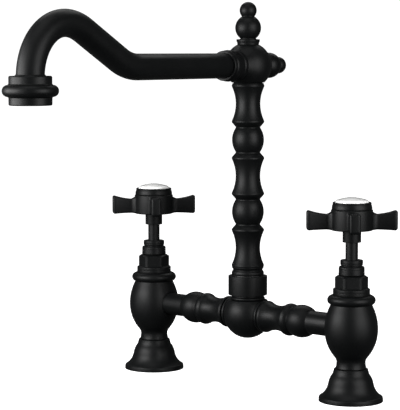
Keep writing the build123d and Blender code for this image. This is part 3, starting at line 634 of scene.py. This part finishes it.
# %% Finials and nut
KNOB, KNOB_MIDDLE, KNOB_NECK = 10.0, 28.95, 6.1      # radius and place of the knob, neck below it
TIP, TIP_MIDDLE, TIP_NECK = 6.6, 42.35, 5.0          # the same for the small ball at the tip
finial = outline(
    (0, 11.1), (3.5, 11.1), (3.5, 16.0), (8.3, 16.0), ((8.35, 16.8), (8.55, 17.9)), (8.95, 18.4),
    (9.05, 19.6), ((8.95, 20.1), (8.4, 20.2)), (KNOB_NECK, 20.5),
    (KNOB_NECK, on_ball(KNOB, KNOB_MIDDLE, KNOB_NECK, -1)),
    ((KNOB, KNOB_MIDDLE), (TIP_NECK, on_ball(KNOB, KNOB_MIDDLE, TIP_NECK))),
    (TIP_NECK, on_ball(TIP, TIP_MIDDLE, TIP_NECK, -1)),
    ((TIP, TIP_MIDDLE), (0, TIP_MIDDLE + TIP)), soft=0.25)
turned("top_finial", "spout", "black_coat", finial, (0, 0, HEAD_Z), UP)
turned("back_finial", "spout", "black_coat", finial, (0, 0, HEAD_Z), -OUT)
turned("spout_nut", "spout", "black_coat", outline(
    (9.55, 25.8), (11.5, 25.8), (11.9, 26.4), ((12.05, 28.0), (11.75, 29.8)), (11.2, 30.6),
    (10.4, 30.9), (10.4, 32.0), (11.3, 32.3), ((11.5, 33.0), (11.0, 34.0)), (9.55, 34.0),
    soft=0.2), (0, 0, HEAD_Z), OUT)
print("head done")


# %% The pipe tree
def pipe_tree():
    """Turns a chain of edges into a pipe with closed ends."""
    tree, given = new_tree("bent_pipe", (
        ("Radius", "NodeSocketFloat", 0.01), ("Sides", "NodeSocketInt", 96)))
    line = add(tree, "GeometryNodeMeshToCurve")
    tree.links.new(given.outputs["Geometry"], line.inputs[0])
    circle = add(tree, "GeometryNodeCurvePrimitiveCircle", Resolution=given.outputs["Sides"],
                 Radius=given.outputs["Radius"])
    sweep = add(tree, "GeometryNodeCurveToMesh", Curve=line.outputs[0],
                Profile_Curve=circle.outputs[0], Fill_Caps=True)
    return end_tree(tree, given, sweep.outputs[0])


PIPE = pipe_tree()


# %% The spout's middle line
def bend(points, heading, radius, angle, step=3.0):
    """Adds an arc that turns by angle degrees, up when positive, and returns the new heading."""
    side = 1 if angle > 0 else -1
    s, z = points[-1]
    cs, cz = s - side * radius * sin(radians(heading)), z + side * radius * cos(radians(heading))
    count = ceil(abs(angle) / step)
    for k in range(1, count + 1):
        a = radians(heading + angle * k / count)
        points.append((cs + side * radius * sin(a), cz - side * radius * cos(a)))
    return heading + angle


TUBE_RADIUS = 9.5
RUN = (10.0, 75.0, 140.6)    # points of the level run, from the riser's axis
LIFT_ANGLE, CREST_ANGLE = 27.3, 18.0         # degrees: the slope of the lift, the first bend down
LIFT_BEND, CREST_BEND, DROP_BEND = 47.8, 44.4, 36.1    # radii of the bends
LIFT_LENGTH = 43.3
TUBE_END = 235.8             # height of the tube's lower end
line = [(s, HEAD_Z) for s in RUN]
heading = bend(line, 0, LIFT_BEND, LIFT_ANGLE)
line.append((line[-1][0] + LIFT_LENGTH * cos(radians(heading)),
             line[-1][1] + LIFT_LENGTH * sin(radians(heading))))
heading = bend(line, heading, CREST_BEND, -CREST_ANGLE)
bend(line, heading, DROP_BEND, CREST_ANGLE - LIFT_ANGLE - 90)
OUTLET_REACH = line[-1][0]
line.append((OUTLET_REACH, TUBE_END))
print("spout reaches", round(OUTLET_REACH, 1), "mm and crests at",
      round(max(z for _, z in line) + TUBE_RADIUS, 1))

# %% The spout's tube
chain = bpy.data.meshes.new("spout_line")
chain.from_pydata([(OUT * s + UP * z) * MM for s, z in line],
                  [(k, k + 1) for k in range(len(line) - 1)], [])
tube = run_tree(PIPE, chain, Radius=TUBE_RADIUS * MM, Sides=96)
place(face_out(tube, "spout_tube"), "spout_tube_skin", "spout", "black_coat", "spout_tube")
print("tube:", len(tube.polygons), "faces")

# %% Outlet
outlet = OUT * OUTLET_REACH
turned("outlet_collar", "spout", "black_coat", outline(
    (11.15, 224.5), (13.4, 224.5), ((14.1, 224.8), (14.35, 225.5)), (14.4, 229.6), (15.0, 230.1),
    ((18.75, 234.2), (15.2, 238.0)), ((14.6, 238.4), (14.35, 239.0)), (14.35, 243.2),
    (13.8, 243.9), (10.8, 244.0), ((10.2, 244.2), (9.85, 244.8)), (9.85, 242.7), (9.55, 242.7),
    (9.55, 235.7), (8.0, 235.7), (8.0, 234.1), (11.15, 234.1), soft=0.2), outlet)
turned("aerator_body", "spout", "aerator_plastic", outline(
    (8.9, 225.1), (10.5, 225.1), (11.1, 225.7), (11.1, 232.7), (8.3, 232.7), (8.3, 228.3),
    (8.9, 228.3), soft=0.2), outlet)
print("outlet done")

# %% [markdown]
# ## Cross handles
# A handle is a hub with a sleeve below, a cup above for the bezel, and four arms that flare
# towards their ends. A box with bevels would be too stiff for that, and a turned arm would be
# round. One arm is therefore made as a row of rounded rectangles, wide at the root, slim at the
# neck and wide again at the tip. A small node tree repeats it round the hub's axis.


# %% The round-the-axis tree
def ring_tree():
    """Repeats what is given Count times round an upright axis at Place, from the angle Start."""
    tree, given = new_tree("round_the_axis", (
        ("Count", "NodeSocketInt", 4), ("Start", "NodeSocketFloat", 0.0),
        ("Place", "NodeSocketVector", (0, 0, 0))))
    points = add(tree, "GeometryNodePoints", Count=given.outputs["Count"],
                 Position=given.outputs["Place"])
    share = add(tree, "ShaderNodeMath", operation="DIVIDE")
    share.inputs[0].default_value = tau
    tree.links.new(given.outputs["Count"], share.inputs[1])
    index = add(tree, "GeometryNodeInputIndex")
    angle = add(tree, "ShaderNodeMath", operation="MULTIPLY_ADD")
    for k, source in enumerate((index.outputs[0], share.outputs[0], given.outputs["Start"])):
        tree.links.new(source, angle.inputs[k])
    turn = add(tree, "ShaderNodeCombineXYZ", Z=angle.outputs[0])
    copies = add(tree, "GeometryNodeInstanceOnPoints", Points=points.outputs[0],
                 Instance=given.outputs["Geometry"], Rotation=turn.outputs[0])
    return end_tree(tree, given, copies.outputs[0])


RING = ring_tree()


# %% Sections of an arm
def through(d, *stations):
    """Width, height and middle height at distance d, on the curve through three stations."""
    sizes = [0.0, 0.0, 0.0]
    for k, (here, values) in enumerate(stations):
        share = 1.0
        for m, (other, _) in enumerate(stations):
            if m != k:
                share *= (d - other) / (here - other)
        sizes = [a + share * b for a, b in zip(sizes, values)]
    return sizes


CORNER = 1.5                 # corner radius of an arm's section


def arm_section(mesh, d, width, height, middle, corner=CORNER, steps=5):
    """A ring of vertices: a rounded rectangle across the arm, which points along -Y."""
    ring = []
    for cx, cz, first in ((1, 1, 0), (-1, 1, 90), (-1, -1, 180), (1, -1, 270)):
        for k in range(steps):
            a = radians(first + 90 * k / (steps - 1))
            x = cx * (width / 2 - corner) + corner * cos(a)
            z = middle + cz * (height / 2 - corner) + corner * sin(a)
            ring.append(mesh.verts.new(Vector((x, -d, z)) * MM))
    return ring


print("arm sections ready")

# %% One arm
DRUM, ARM_END = 15.6, 33.8   # from the hub's axis to its wall and to the end of an arm
ROOT_AT, FLARE_AT, NECK_AT = DRUM - 1.8, DRUM + 0.7, DRUM + 3.0
BACK_AT = DRUM - 3.6         # the neck's size is used here too, so the arm widens slowly at first
ROOT, FLARE = (11.5, 14.8, 135.2), (7.4, 12.8, 134.6)        # width, height, middle height
NECK, TIP_SIZE = (5.9, 11.6, 134.2), (8.7, 15.6, 135.45)
END_ROUND = 2.2              # radius of the edge round an arm's end
END_CORNER = 0.6             # corner radius of the section at the very end
FLARE_STEPS, TIP_STEPS, END_STEPS = 8, 12, 5      # sections along the flare, the tip and its edge
root_stations = ((ROOT_AT, ROOT), (FLARE_AT, FLARE), (NECK_AT, NECK))
tip_stations = ((BACK_AT, NECK), (NECK_AT, NECK), (ARM_END, TIP_SIZE))
one_arm = bmesh.new()
rings = []
for k in range(FLARE_STEPS):
    d = ROOT_AT + (NECK_AT - ROOT_AT) * k / FLARE_STEPS
    rings.append(arm_section(one_arm, d, *through(d, *root_stations)))
for k in range(TIP_STEPS + 1):
    d = NECK_AT + (ARM_END - END_ROUND - NECK_AT) * k / TIP_STEPS
    rings.append(arm_section(one_arm, d, *through(d, *tip_stations)))
for k in range(1, END_STEPS + 1):
    a = radians(90 * k / END_STEPS)
    d = ARM_END - END_ROUND + END_ROUND * sin(a)
    width, height, middle = through(d, *tip_stations)
    inset = 2 * END_ROUND * (1 - cos(a))
    rings.append(arm_section(one_arm, d, width - inset, height - inset, middle,
                             corner=CORNER - (CORNER - END_CORNER) * (1 - cos(a))))
for low, high in zip(rings, rings[1:]):
    for k in range(len(low)):
        after = (k + 1) % len(low)
        one_arm.faces.new((low[k], low[after], high[after], high[k]))
one_arm.faces.new(rings[0][::-1])
one_arm.faces.new(rings[-1])
bmesh.ops.recalc_face_normals(one_arm, faces=one_arm.faces)
ARM = to_mesh(one_arm, "arm")
print("arm:", len(ARM.polygons), "faces")

# %% Outlines of hub, bezel and cap
hub = outline(
    (4.73, 118.9), (6.9, 118.9), (6.9, 127.8), (14.8, 127.8), ((15.35, 128.05), (15.6, 128.6)),
    (15.6, 142.8), (15.1, 143.3), (12.95, 143.3), (12.95, 137.1), (3.75, 137.1), (3.75, 122.7),
    (4.73, 121.65))
bezel = outline(
    (11.8, 140.0), (12.9, 140.0), (12.9, 143.3), (14.8, 143.3), (15.0, 143.7), (15.0, 144.7),
    ((14.75, 146.0), (14.25, 147.4)), ((14.35, 148.3), (13.9, 148.7)), (12.6, 148.4),
    (12.4, 147.0), (11.8, 146.3), soft=0.2)
CAP_TOP = 152.3              # height of the cap's middle
DOME = 32.0                  # radius of the cap's dome
DOME_MIDDLE = CAP_TOP - DOME
cap = outline(
    (0, 141.8), (10.5, 141.8), (11.7, 142.8), (11.7, 146.4), (12.3, 147.1), (12.45, 148.6),
    ((11.9, 149.8), (10.6, on_ball(DOME, DOME_MIDDLE, 10.6))),
    ((5.3, on_ball(DOME, DOME_MIDDLE, 5.3)), (0, CAP_TOP)), soft=0.4)
print("hub, bezel and cap:", len(hub), len(bezel), "and", len(cap), "points")

# %% Handles
for (name, side), turn in zip(SIDES, (HOT_TURN, COLD_TURN)):
    x, valve = side * COLUMN_X, name + "_valve"
    arms = run_tree(RING, ARM.copy(), Count=4, Start=radians(turn), Place=(x * MM, 0, 0))
    cross = combine(lathe("hub", hub, (x, 0, 0)), arms, "UNION")
    place(cross, name + "_handle_skin", valve, "black_coat", name + "_handle")
    turned(name + "_bezel", valve, "black_coat", bezel, (x, 0, 0))
    turned(name + "_cap", valve, "porcelain", cap, (x, 0, 0))
print("handles done")

# %% [markdown]
# ## Floor, light and camera
# The photograph has no set: the faucet floats on white. The camera therefore sees the floor and
# the world as plain white, while the world's own light is dim. A black object is seen by what it
# reflects, so a near panel and a wide panel stand on each side of the camera and draw the two
# upright highlights on every turned form. One more panel stands above and one behind. The
# panels reach lower than the floor, so the floor casts no shadow and shows in no reflection.
# The camera was fitted to the photograph, which is why its numbers aren't round.

# %% Floor
WHITE, WHITE_GLOW = (1, 1, 1, 1), 1.1        # the glow is a little over full white
HALF_FLOOR = 6.0             # metres
floor_mesh = bpy.data.meshes.new("floor")
floor_mesh.from_pydata([(x * HALF_FLOOR, y * HALF_FLOOR, 0) for x, y in (
    (-1, -1), (1, -1), (1, 1), (-1, 1))], [], [(0, 1, 2, 3)])
floor = put("floor", floor_mesh)
paint = bpy.data.materials.new("floor_white")
paint.use_nodes = True
shader = paint.node_tree.nodes["Principled BSDF"]
shader.inputs["Base Color"].default_value = (0.8, 0.8, 0.8, 1)
shader.inputs["Roughness"].default_value = 1.0
shader.inputs["Emission Color"].default_value = WHITE
shader.inputs["Emission Strength"].default_value = WHITE_GLOW
floor_mesh.materials.append(paint)
floor.visible_glossy = False
floor.visible_diffuse = False
floor.visible_shadow = False
floor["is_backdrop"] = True
print("floor:", 2 * HALF_FLOOR, "m square")

# %% World
WORLD_GLOW = 0.07            # what the world gives to everything but the camera
world = bpy.data.worlds.new("studio")
bpy.context.scene.world = world
world.use_nodes = True
sky = world.node_tree.nodes["Background"]
sky.inputs["Color"].default_value = WHITE
ray = add(world.node_tree, "ShaderNodeLightPath")
glow = add(world.node_tree, "ShaderNodeMapRange", Value=ray.outputs["Is Camera Ray"],
           To_Min=WORLD_GLOW, To_Max=WHITE_GLOW)
world.node_tree.links.new(glow.outputs[0], sky.inputs["Strength"])
bpy.context.scene.view_settings.view_transform = "Standard"
print("world:", world.name)

# %% Camera
FRAME = 410                  # pixels along the frame's longer side, which shifts are a share of
camera_data = bpy.data.cameras.new("camera")
camera_data.lens = 152.28               # millimetres, as is the width of the sensor
camera_data.sensor_width = 36.0
camera_data.shift_x = 0.2 / FRAME
camera_data.shift_y = 0.5 / FRAME
camera_data.clip_end = 50
camera = put("camera", camera_data)
camera.location = Vector((878.51, -1019.56, 259.58)) * MM
TILT, ROLL, HEADING = 5.0707, 0.0544, 42.340           # degrees: down, aside and round
camera.rotation_euler = (radians(90 - TILT), radians(ROLL), radians(HEADING))
bpy.context.scene.camera = camera
print("camera is", round(camera.location.length, 2), "m from the middle of the counter")

# %% Lights
TARGET = Vector((0, 0, 0.16))          # metres: the middle of the faucet
CAMERA_SIDE = 40.8           # degrees from -Y towards +X
PANELS = (                   # degrees aside of the camera and up, metres away, width, height, watts
    ("left", -61, 10, 0.58, 0.45, 0.28, 3.6),
    ("left_wide", -60, 10, 0.6, 0.9, 0.7, 3.4),
    ("right", 43.5, 12, 0.82, 0.5, 0.6, 3.7),
    ("right_wide", 43.5, 10, 0.85, 1.0, 1.0, 4.3),
    ("top", -20, 75, 1.6, 1.2, 1.2, 5.6),
    ("back", 180, 50, 1.5, 1.4, 0.6, 4.4),
)
for name, aside, elevation, distance, width, height, power in PANELS:
    panel = bpy.data.lights.new(name, "AREA")
    panel.shape, panel.size, panel.size_y, panel.energy = "RECTANGLE", width, height, power
    light = put(name, panel)
    a, e = radians(CAMERA_SIDE + aside), radians(elevation)
    away = Vector((sin(a) * cos(e), -cos(a) * cos(e), sin(e)))
    light.location = TARGET + away * distance
    light.rotation_euler = away.to_track_quat("Z", "Y").to_euler()
print("studio done:", len(PANELS), "panels")

# %% Sizes and finish
low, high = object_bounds()
{"cad": [list(cad_low), list(cad_high)], "visual": [list(low), list(high)]}
print("visual box in mm:", [round(v * 1000, 1) for v in high - low])
